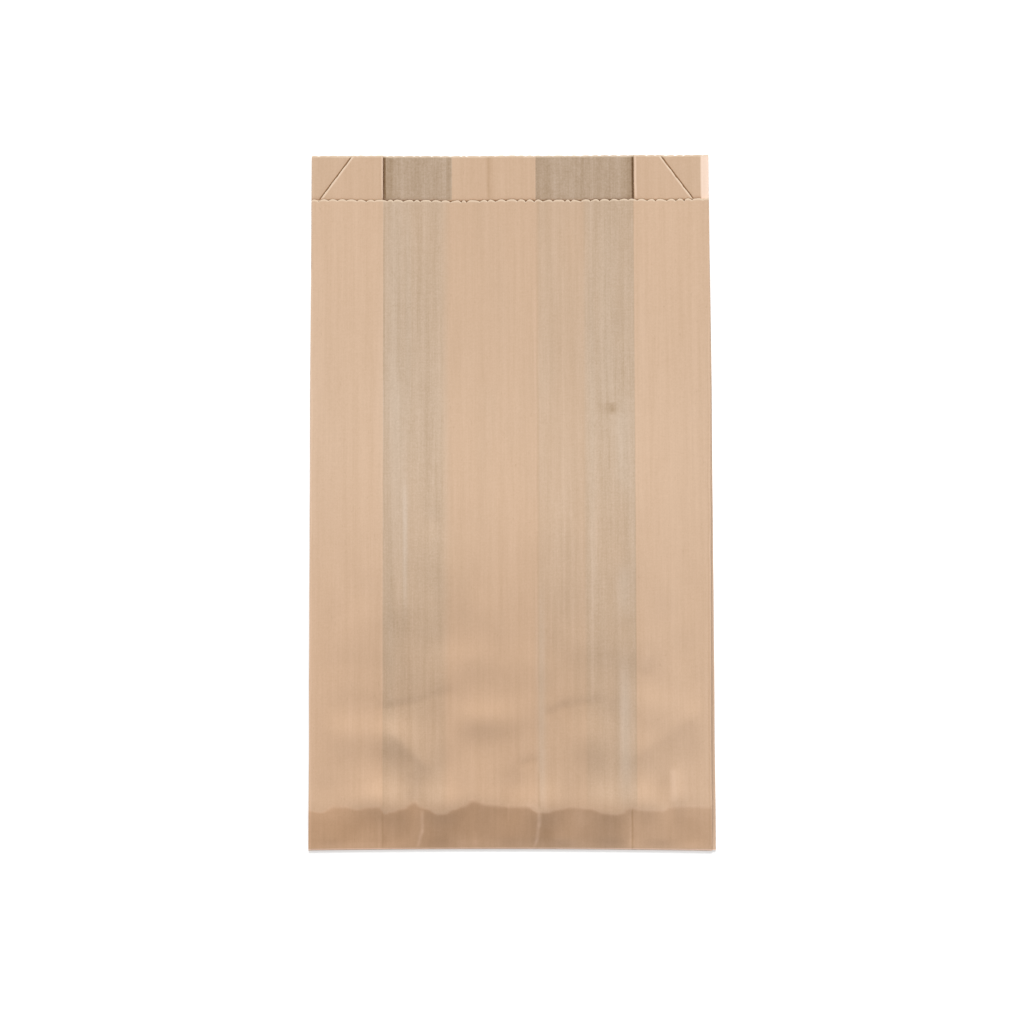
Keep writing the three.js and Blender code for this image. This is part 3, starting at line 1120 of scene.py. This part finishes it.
@dataclass(frozen=True)
class KraftFinish:
    """Thin unbleached kraft paper, whose colour shows how many layers lie on each other, with painted
    shade and painted highlights mixed in.
    """

    sizes: FoldSizes
    one_layer: Colour = linear(188, 165, 142)
    two_layers: Colour = linear(203, 178, 153)
    three_layers: Colour = linear(213, 182, 154)
    four_layers: Colour = linear(217, 186, 158)
    # Painted highlight: the paper turns this pale colour along the knife's cut edges, for the light on
    # the thin edge.
    cut_edge_highlight: Colour = linear(242, 220, 194)
    # Painted shade: this tint darkens and warms the paper low on the belly, towards the mouth and on the
    # bottom band, where it is partly the pressed end's own colour.
    pressed_and_shade_tint: Colour = (0.89, 0.78, 0.68)
    roughness: float = 0.88
    shine: float = 0.06
    # Marks: across, width, strength, start, end, lean. Most are painted light and shade: painted shadows
    # beside the gusset's inner folds on the lip and along the side folds, and painted highlights on the
    # fold edges and on the creases of the bottom band and the body. The lines near -9 mm and 42 mm across
    # are only painted darker.
    marks: tuple[Mark, ...] = tuple(Mark(*row) for row in (
        (-54.5, 0.7, 0.045, 60, 281), (-53.8, 0.6, -0.06, 18, 281), (52.4, 0.8, -0.035, 18, 281),
        (53.2, 0.7, 0.02, 60, 281), (-43.6, 0.9, 0.03, 180, 283), (-45, 0.9, 0.035, 104, 156),
        (34.1, 0.9, 0.05, 62, 281), (22.3, 0.9, 0.04, 90, 250), (14.5, 3.5, -0.02, 60, 150),
        (10.4, 0.8, 0.03, 69, 242), (11.4, 0.8, -0.045, 18, 281), (41.5, 6, -0.11, 187, 191.5),
        (43, 2, -0.16, 187.2, 191), (-9, 1.6, -0.015, 60, 281), (-9.4, 1.3, -0.12, 281, 302),
        (-8.8, 3, -0.07, 281, 302), (-54.8, 0.7, 0.3, 281, 302), (53.5, 0.8, 0.33, 281, 302),
        (-53.8, 0.9, -0.5, 281, 302), (52.3, 0.9, -0.5, 281, 302), (-51.8, 4.5, -0.11, 281, 302),
        (50.6, 4.5, -0.12, 281, 302), (-37.7, 1.3, 0.2, 7.5, 16.5), (-39.5, 1.2, 0.18, 2, 8.5, 0.27),
        (11.3, 1.5, 0.24, 10, 15.5), (10.2, 1.4, 0.22, 3.5, 11, 0.12), (9.3, 1.1, 0.17, 1.5, 4.5, 0.35),
        (50.4, 0.7, -0.2, 0.5, 17), (49.5, 0.9, 0.06, 1, 15), (-54.3, 0.7, -0.08, 1, 16),
        (-55.6, 1.3, 0.06, 1, 13), (-53.4, 1.8, -0.06, 2, 8), (-15.2, 1.7, 0.06, 2, 8),
        (-1.5, 0.8, 0.08, 12, 19), (67.9, 2.2, 0.07, 20, 34), (11.2, 1, -0.06, 18, 32),
        (13.4, 2.6, 0.05, 17, 42), (-84.7, 0.7, 0.1, 0, 301), (83.6, 0.8, 0.08, 2, 301, 0.003),
        (82.9, 0.7, -0.08, 2, 281, 0.005), (-83.4, 1.8, 0.03, 20, 301),
    ))
    hazed: Colour = linear(214, 198, 181)
    haze_share: float = 0.5
    fibre: Colour = linear(168, 134, 102)
    fibres: Pattern = Pattern((1.1, 0.35, 1.0), 5.0)
    fibres_show: Fade = Fade(0.66, 0.74, 0.0, 0.16)
    cut_highlight_show: Fade = Fade(0.25, 0.95, 0.0, 0.85)
    patterns: tuple[Pattern, ...] = (
        Pattern((0.45, 0.012, 0.2), 3.0, 0.15, bump=0.8, roughness=0.2),
        Pattern((2.6, 0.05, 1.0), 3.0, 0.09, bump=0.35),
        Pattern((0.28, 0.22, 0.3), 4.0, 0.05),
        Pattern((3.5, 1.6, 3.0), 3.0, 0.11, bump=0.25),
        Pattern((0.3, 2.2, 0.3), 2.0, 0.05),
        Pattern((1.3, 1.1, 1.0), 2.0, 0.11),
    )
    thin_texture: Fade = Fade(1.0, 3.0, 3.0, 1.0)
    bump_height: float = 0.03 * MM
    mark_waver: Pattern = Pattern((0.0, 0.03, 0.0), 2.0, 1.6)
    mark_end: float = 2.5
    layer_cloud: Pattern = Pattern((0.05, 0.012, 0.0), 3.0)
    lap_softness: float = 0.8
    lap_left_fade: Fade = Fade(-31.0, -24.0)
    lap_right_fade: Fade = Fade(10.0, 12.5, 1.0, 0.0)
    gusset_softness: float = 0.3
    mouth_softness: float = 0.4
    corner_layers: float = 1.85
    close_end: float = 31.5
    close_softness: float = 2.0
    close_layers: float = 0.5
    pressed_layers: float = 3.4
    ridge_spring: Fade = Fade(13.0, 24.0, 0.12, 1.0)
    body_spring: Fade = Fade(40.0, 120.0, 0.72, 1.0)
    # Where the darker, warmer tone lies: painted shade low on the belly and towards the mouth, and on the
    # bottom band partly painted shade.
    low_tone: Fade = Fade(45.0, 190.0, 0.46, 0.0)
    low_tone_across: Fade = Fade(10.0, 70.0, 1.0, 0.5)
    mouth_tone: Fade = Fade(190.0, 285.0, 0.0, 0.10)
    band_tone: Fade = Fade(-20.0, 50.0, 0.58, 0.44)
    # Painted shade between layers: the colour darkens towards this deep brown where the bag's own
    # surfaces close in, as ambient occlusion finds them.
    contact_samples: int = 8
    contact_reach: float = 2.5 * MM
    contact_range: Span = (0.52, 0.97)
    painted_contact_shade: Colour = (0.30, 0.16, 0.08)
    # Painted highlights along the bottom fold and its edge.
    fold_highlight: Fade = Fade(0.3, 4.0, 0.05, 0.0)
    fold_edge_highlight: Fade = Fade(0.1, 0.9, 1.0, 0.0)
    shade_powers: tuple[float, float, float] = (0.85, 1.05, 1.4)
    darkest: float = 0.1
    # Painted shadow just outside the slanted gusset cuts, and a painted highlight just inside them.
    corner_shadow: float = -0.55
    corner_shadow_line: Span = (0.1, 0.8)
    corner_highlight: float = 0.26
    corner_highlight_line: Span = (-0.9, 0.0)
    corner_softness: float = 0.4
    # Painted shadow on the inner layers just past the front's toothed lip.
    lip_shadow: Fade = Fade(-0.6, 0.5, -0.45, 0.0)
    # The outer side strip is painted lighter and kept out of the painted shade between layers, against
    # the shade that the front's fold casts on it.
    outside_range: Span = (0.60, 0.78)
    outside_painted_light: float = 0.55
    # A painted highlight along the ridge, and a lighter tone over the band below it.
    ridge_highlight: float = 0.06
    band_lift: float = 0.05

    def place(self, graph: Graph) -> Socket:
        """Return the place on the bag in millimetres, from the middle of the bottom fold.

        Args:
            graph: The material's node tree.

        Returns:
            The place as a vector.
        """
        place = graph.node("ShaderNodeTexCoord").outputs["Object"]
        scale, shift = (1 / MM, 1 / MM, 1 / MM), (0.0, self.sizes.length / 2 / MM, 0.0)
        return graph.result("ShaderNodeVectorMath", place, scale, shift, operation="MULTIPLY_ADD")

    def layers(self, graph: Graph, place: Socket, x: Socket, y: Socket) -> Socket:
        """Count the layers that lie on each other at a place.

        Args:
            graph: The material's node tree.
            place: The place, in millimetres.
            x: Its part across the bag.
            y: Its part along the bag.

        Returns:
            The number of layers, with soft steps.
        """
        sizes = self.sizes
        inner = (sizes.width / 2 - sizes.gusset_depth) / MM
        lip_line = (sizes.length - sizes.lip) / MM
        soft, mouth = self.gusset_softness, self.mouth_softness
        lap_left, lap_right = sizes.lap_left / MM, sizes.lap_right / MM
        lap = graph.window(x, lap_left, lap_right, self.lap_softness)
        left, right = graph.fade(x, self.lap_left_fade), graph.fade(x, self.lap_right_fade)
        from_left = graph.math("SUBTRACT", sizes.left_inset / MM, x)
        away = graph.math("MAXIMUM", from_left, graph.math("ADD", x, sizes.right_inset / MM))
        gusset = graph.fade(away, Fade(inner - soft, inner + soft))
        front = graph.fade(y, Fade(lip_line - mouth, lip_line + mouth, 1.0, 0.0))
        cut_off = graph.fade(self.past_corner(graph, x, y), Fade(-soft, soft))
        above = graph.math("SUBTRACT", 1.0, front)
        corner = graph.math("MULTIPLY", cut_off, above)
        leaf_layers = graph.math("MULTIPLY_ADD", corner, self.corner_layers - 2.0, 2.0)
        leaves = graph.math("MULTIPLY", gusset, leaf_layers)
        seen_lap = graph.math("MULTIPLY", graph.math("MULTIPLY", left, right), front)
        lap = graph.math("MULTIPLY_ADD", lap, graph.math("MULTIPLY", above, 2.0), seen_lap)
        close = graph.window(x, lap_right, self.close_end, self.close_softness)
        cloud = graph.math("SUBTRACT", graph.noise(place, self.layer_cloud), 0.5)
        nearness = graph.math("MULTIPLY_ADD", close, self.close_layers, cloud)
        contact = graph.math("MULTIPLY", nearness, front)
        total = graph.math("ADD", graph.math("ADD", lap, leaves), graph.math("ADD", front, contact))
        total = graph.math("ADD", total, 1.0)
        apart = graph.math("MULTIPLY", graph.fade(y, self.ridge_spring), graph.fade(y, self.body_spring))
        more = graph.math("SUBTRACT", total, self.pressed_layers)
        return graph.math("MULTIPLY_ADD", more, apart, self.pressed_layers)

    def off_fold(self, graph: Graph, x: Socket, y: Socket) -> Socket:
        """Return how far a place lies from the bottom fold, in millimetres along the bag.

        Args:
            graph: The material's node tree.
            x: The place across the bag, in millimetres.
            y: The place along the bag, in millimetres.

        Returns:
            The distance.
        """
        sizes = self.sizes
        share = graph.math("MULTIPLY", x, 2.0 * MM / sizes.width)
        bow = graph.math("MULTIPLY_ADD", graph.math("MULTIPLY", share, share), sizes.bottom_bow / MM, y)
        skewed = graph.math("MULTIPLY_ADD", share, sizes.bottom_skew / MM, bow)
        return graph.math("SUBTRACT", skewed, sizes.bottom_bow / MM)

    def past_corner(self, graph: Graph, x: Socket, y: Socket) -> Socket:
        """Return how far a place lies outside the slanted gusset cuts, in millimetres across the bag.

        Args:
            graph: The material's node tree.
            x: The place across the bag, in millimetres.
            y: The place along the bag, in millimetres.

        Returns:
            The distance, below 0 on the gusset's side of the cut.
        """
        sizes = self.sizes
        centred = graph.math("SUBTRACT", x, sizes.knife_shift / MM)
        slope = (sizes.corner_at_end - sizes.corner_at_front) / sizes.lip
        past_front = graph.math("SUBTRACT", y, (sizes.length - sizes.lip) / MM)
        at_front = (sizes.corner_at_front - sizes.width / 2) / MM
        line = graph.math("MULTIPLY_ADD", past_front, slope, at_front)
        return graph.math("ADD", line, graph.math("ABSOLUTE", centred))

    def corner_shade(self, graph: Graph, x: Socket, y: Socket) -> Socket:
        """Draw the painted shadow and the painted highlight along the slanted gusset cuts.

        Args:
            graph: The material's node tree.
            x: The place across the bag, in millimetres.
            y: The place along the bag, in millimetres.

        Returns:
            What the lines add to the shade.
        """
        past = self.past_corner(graph, x, y)
        lip_line = (self.sizes.length - self.sizes.lip) / MM
        on_lip = graph.fade(y, Fade(lip_line, lip_line + 1.0))
        dark_line = graph.window(past, *self.corner_shadow_line, self.corner_softness)
        light_line = graph.window(past, *self.corner_highlight_line, self.corner_softness)
        dark = graph.math("MULTIPLY", dark_line, self.corner_shadow)
        both = graph.math("MULTIPLY_ADD", light_line, self.corner_highlight, dark)
        return graph.math("MULTIPLY", both, on_lip)

    def stack_colour(self, graph: Graph, layers: Socket) -> Socket:
        """Return the paper's colour over the given number of layers.

        Args:
            graph: The material's node tree.
            layers: The number of layers.

        Returns:
            The colour.
        """
        ramp = graph.node("ShaderNodeValToRGB")
        stops = (self.one_layer, self.two_layers, self.three_layers, self.four_layers)
        elements = ramp.color_ramp.elements
        while len(elements) < len(stops):
            elements.new(0.5)
        for index, colour in enumerate(stops):
            elements[index].position = index / (len(stops) - 1)
            elements[index].color = (*colour, 1.0)
        graph.plug(graph.ramp(layers, 1.0, float(len(stops))), ramp.inputs[0])
        return ramp.outputs[0]

    def line_shade(self, graph: Graph, x: Socket, y: Socket, place: Socket) -> Socket:
        """Return how much lighter or darker the lengthwise marks make the paper, most of them painted
        highlights and painted shadows.

        Args:
            graph: The material's node tree.
            x: The place across the bag.
            y: The place along the bag.
            place: Both together.

        Returns:
            The sum of the marks' strengths.
        """
        strength = self.mark_waver.strength
        waver = graph.math("MULTIPLY_ADD", graph.noise(place, self.mark_waver), strength, -strength / 2)
        wavering = graph.math("ADD", x, waver)
        total: Value = 0.0
        for mark in self.marks:
            place_across = wavering
            if mark.lean:
                leaning = graph.math("MULTIPLY", graph.math("SUBTRACT", y, mark.start), -mark.lean)
                place_across = graph.math("ADD", wavering, leaning)
            left, right = mark.across - mark.width / 2, mark.across + mark.width / 2
            line = graph.window(place_across, left, right, mark.width)
            reach = graph.window(y, mark.start, mark.end, self.mark_end)
            total = graph.math("MULTIPLY_ADD", graph.math("MULTIPLY", line, reach), mark.strength, total)
        return total

    def pressed(self, graph: Graph, x: Socket, y: Socket) -> Socket:
        """Return how far the paper takes its darker, warmer tone, from 0 to 1: painted shade low on the
        belly and towards the mouth, and on the bottom band partly painted shade, partly the pressed end's
        own colour.

        Args:
            graph: The material's node tree.
            x: The place across the bag, in millimetres.
            y: The place along the bag, in millimetres.

        Returns:
            The share of the deeper tone.
        """
        low = graph.math("MULTIPLY", graph.fade(y, self.low_tone), graph.fade(x, self.low_tone_across))
        low = graph.math("ADD", low, graph.fade(y, self.mouth_tone))
        band = graph.math("MULTIPLY", graph.attribute("band"), graph.fade(x, self.band_tone))
        return graph.math("ADD", band, low)

    def contact(self, graph: Graph) -> Socket:
        """Return how open a place is, from 0 deep between two layers to 1 on an open surface; it sets the
        painted shade between layers.

        Args:
            graph: The material's node tree.

        Returns:
            The openness.
        """
        near = graph.node("ShaderNodeAmbientOcclusion", only_local=True, samples=self.contact_samples)
        near.inputs["Distance"].default_value = self.contact_reach
        return graph.ramp(near.outputs["AO"], *self.contact_range)

    def texture(self, graph: Graph, place: Socket) -> tuple[Socket, Socket, Socket]:
        """Add up the paper's random patterns.

        Args:
            graph: The material's node tree.
            place: The place, in millimetres.

        Returns:
            How much lighter or darker they make the paper, their relief and its roughness.
        """
        shade: Value = 0.0
        height: Value = 0.0
        roughness: Value = self.roughness
        for pattern in self.patterns:
            value = graph.noise(place, pattern)
            centred = graph.math("SUBTRACT", value, 0.5)
            shade = graph.math("MULTIPLY_ADD", centred, pattern.strength, shade)
            if pattern.bump:
                height = graph.math("MULTIPLY_ADD", value, pattern.bump, height)
            if pattern.roughness:
                roughness = graph.math("MULTIPLY_ADD", centred, pattern.roughness, roughness)
        return shade, height, roughness

    def fold_shade(self, graph: Graph, x: Socket, y: Socket) -> Socket:
        """Return the painted highlights along the bottom fold and the ridge, and how much lighter the
        band between them is painted.

        Args:
            graph: The material's node tree.
            x: The place across the bag, in millimetres.
            y: The place along the bag, in millimetres.

        Returns:
            What they add to the shade.
        """
        off_fold = self.off_fold(graph, x, y)
        band = graph.attribute("band")
        on_edge = graph.fade(off_fold, self.fold_edge_highlight)
        at_fold = graph.math("ADD", graph.fade(off_fold, self.fold_highlight), on_edge)
        at_ridge = graph.math("MULTIPLY", band, graph.math("SUBTRACT", 1.0, band))
        painted_light = graph.math("MULTIPLY_ADD", at_ridge, 4 * self.ridge_highlight, at_fold)
        return graph.math("MULTIPLY_ADD", band, self.band_lift, painted_light)

    def toned(self, graph: Graph, colour: Socket, shade: Socket) -> Socket:
        """Make a colour lighter or darker. A darker tone is also a warmer one.

        Args:
            graph: The material's node tree.
            colour: The colour.
            shade: How much lighter it gets, as a share, or darker below 0.

        Returns:
            The new colour.
        """
        factor = graph.math("MAXIMUM", graph.math("ADD", shade, 1.0), self.darkest)
        powers = (graph.math("POWER", factor, power) for power in self.shade_powers)
        factors = graph.result("ShaderNodeCombineXYZ", *powers)
        return graph.result("ShaderNodeVectorMath", colour, factors, operation="MULTIPLY")

    def bump(self, graph: Graph, height: Socket) -> Socket:
        """Return the normal over the surface's small relief.

        Args:
            graph: The material's node tree.
            height: The relief.

        Returns:
            The normal.
        """
        bump = graph.node("ShaderNodeBump")
        bump.inputs["Strength"].default_value = 1.0
        bump.inputs["Distance"].default_value = self.bump_height
        graph.plug(height, bump.inputs["Height"])
        return bump.outputs[0]

    def build(self) -> bpy.types.Material:
        """Make the paper's material.

        Returns:
            The material.
        """
        graph = Graph("kraft_paper")
        place = self.place(graph)
        parts = graph.node("ShaderNodeSeparateXYZ")
        graph.plug(place, parts.inputs[0])
        x, y = parts.outputs["X"], parts.outputs["Y"]
        layers = self.layers(graph, place, x, y)
        colour = self.stack_colour(graph, layers)
        hazy = graph.math("MULTIPLY", graph.attribute("haze"), self.haze_share)
        colour = graph.blend(hazy, colour, self.hazed)
        # The darker, warmer tone: painted shade, on the bottom band partly the pressed end's own colour.
        tinted = graph.blend(1.0, colour, self.pressed_and_shade_tint, "MULTIPLY")
        colour = graph.blend(self.pressed(graph, x, y), colour, tinted)
        outside = graph.ramp(graph.attribute("outside"), *self.outside_range)
        texture, height, roughness = self.texture(graph, place)
        # Painted light and shade: the marks' lines and the creases' painted light.
        shade = graph.math("ADD", self.line_shade(graph, x, y, place), graph.attribute("painted_crease_light"))
        shade = graph.math("ADD", shade, self.corner_shade(graph, x, y))
        shade = graph.math("MULTIPLY_ADD", texture, graph.fade(layers, self.thin_texture), shade)
        shade = graph.math("ADD", shade, self.fold_shade(graph, x, y))
        # Painted shadow on the inner layers just past the front's toothed lip.
        shade = graph.math("ADD", shade, graph.fade(graph.attribute("past_lip"), self.lip_shadow))
        # Painted light on the outer side strip.
        shade = graph.math("MULTIPLY_ADD", outside, self.outside_painted_light, shade)
        colour = self.toned(graph, colour, shade)
        fibres = graph.fade(graph.noise(place, self.fibres), self.fibres_show)
        colour = graph.blend(fibres, colour, self.fibre)
        # Painted shade: the colour darkens towards the deep brown between layers, but not on the outer
        # side strip.
        contact_shaded = graph.blend(1.0, colour, self.painted_contact_shade, "MULTIPLY")
        colour = graph.blend(graph.math("MAXIMUM", self.contact(graph), outside), contact_shaded, colour)
        # Painted highlight along the knife's cut edges.
        colour = graph.blend(graph.fade(graph.attribute("cut"), self.cut_highlight_show), colour, self.cut_edge_highlight)
        surface = graph.node("ShaderNodeBsdfPrincipled")
        graph.plug(colour, surface.inputs["Base Color"])
        graph.plug(roughness, surface.inputs["Roughness"])
        surface.inputs["Specular IOR Level"].default_value = self.shine
        graph.plug(self.bump(graph, height), surface.inputs["Normal"])
        return graph.finished(surface.outputs[0])


@dataclass(frozen=True)
class Table:
    """The pale table that the bag lies on. It isn't part of the object."""

    reach: float = 3.0
    drop: float = 0.1 * MM
    colour: Colour = (0.88, 0.88, 0.88)
    glow: float = 0.42

    def build(self) -> None:
        """Make the table, which the camera sees as white and which keeps the bag's shadow."""
        bm = bmesh.new()
        bmesh.ops.create_grid(bm, x_segments=1, y_segments=1, size=self.reach)
        bmesh.ops.translate(bm, verts=bm.verts, vec=(0.0, 0.0, -self.drop))
        placed_mesh("table", bm, self.finish())

    def finish(self) -> bpy.types.Material:
        """Make the table's plain finish.

        Returns:
            The material.
        """
        graph = Graph("pale_table")
        base = graph.result("ShaderNodeBsdfDiffuse", (*self.colour, 1.0))
        glow = graph.node("ShaderNodeEmission")
        path = graph.node("ShaderNodeLightPath")
        seen = graph.math("MAXIMUM", path.outputs["Is Camera Ray"], path.outputs["Is Glossy Ray"])
        seen = graph.math("MAXIMUM", seen, path.outputs["Is Transmission Ray"])
        graph.plug(graph.math("MULTIPLY", seen, self.glow), glow.inputs["Strength"])
        return graph.finished(graph.result("ShaderNodeAddShader", base, glow.outputs[0]))


@dataclass(frozen=True)
class Studio:
    """The soft light and the camera. The photograph looks almost straight down on the bag."""

    tilt: float = math.radians(10.8)
    distance: float = 2.554
    sensor: float = 36.0
    seen_width: float = 433.6 * MM
    sight: float = 20.0
    roll: float = math.radians(0.16)
    aim: tuple[float, float, float] = (0.4 * MM, -5.6 * MM, 1.0 * MM)
    key_height: float = math.radians(25.0)
    key_distance: float = 8.0
    key_size: float = 4.8
    key_power: float = 1068.0
    fill: float = 0.428

    def camera(self) -> None:
        """Set the camera up above the bag, a little towards its bottom."""
        aim = Vector(self.aim)
        back = Vector((0.0, -math.sin(self.tilt), math.cos(self.tilt)))
        right = Vector((math.sin(self.roll), math.cos(self.roll), 0.0)).cross(back).normalized()
        turned = Matrix((right, back.cross(right), back)).transposed()
        data = bpy.data.cameras.new("camera")
        data.sensor_width = self.sensor
        data.lens = self.sensor * self.distance / self.seen_width
        data.clip_end = self.sight
        camera = placed("camera", data)
        camera.location = aim + back * self.distance
        camera.rotation_euler = turned.to_euler()
        bpy.context.scene.camera = camera

    def key_light(self) -> None:
        """Hang a broad lamp low beyond the bag's mouth, aimed at the bag."""
        data = bpy.data.lights.new("key", "AREA")
        data.shape = "SQUARE"
        data.size = self.key_size
        data.energy = self.key_power
        lamp = placed("key", data)
        towards = Vector((0.0, math.cos(self.key_height), math.sin(self.key_height)))
        lamp.location = towards * self.key_distance
        lamp.rotation_euler = towards.to_track_quat("Z", "Y").to_euler()

    def world(self) -> None:
        """Fill the shadows evenly, with white behind the table's edge."""
        world = bpy.data.worlds.new("room")
        bpy.context.scene.world = world
        world.use_nodes = True
        tree = world.node_tree
        tree.nodes.clear()
        path = tree.nodes.new("ShaderNodeLightPath")
        strength = tree.nodes.new("ShaderNodeMapRange")
        strength.inputs["To Min"].default_value = self.fill
        strength.inputs["To Max"].default_value = 1.0
        light = tree.nodes.new("ShaderNodeBackground")
        output = tree.nodes.new("ShaderNodeOutputWorld")
        tree.links.new(path.outputs["Is Camera Ray"], strength.inputs["Value"])
        tree.links.new(strength.outputs["Result"], light.inputs["Strength"])
        tree.links.new(light.outputs[0], output.inputs["Surface"])

    def build(self) -> None:
        """Set up the camera, the lamp and the room."""
        self.camera()
        self.key_light()
        self.world()
        bpy.context.scene.view_settings.view_transform = "Standard"


def main() -> None:
    """Build the bag, the table and the studio."""
    logging.basicConfig(level=logging.INFO, format="%(name)s: %(message)s")
    low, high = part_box(CAD_NODE)
    sizes = FoldSizes(width=high.x - low.x, length=high.y - low.y)
    Studio().build()
    Table().build()
    paper = KraftFinish(sizes).build()
    bag = PaperBag(sizes).build(paper)
    LOG.info("%s: %d faces of %s", bag.name, len(bag.data.polygons), paper.name)


if __name__ == "__main__":
    main()
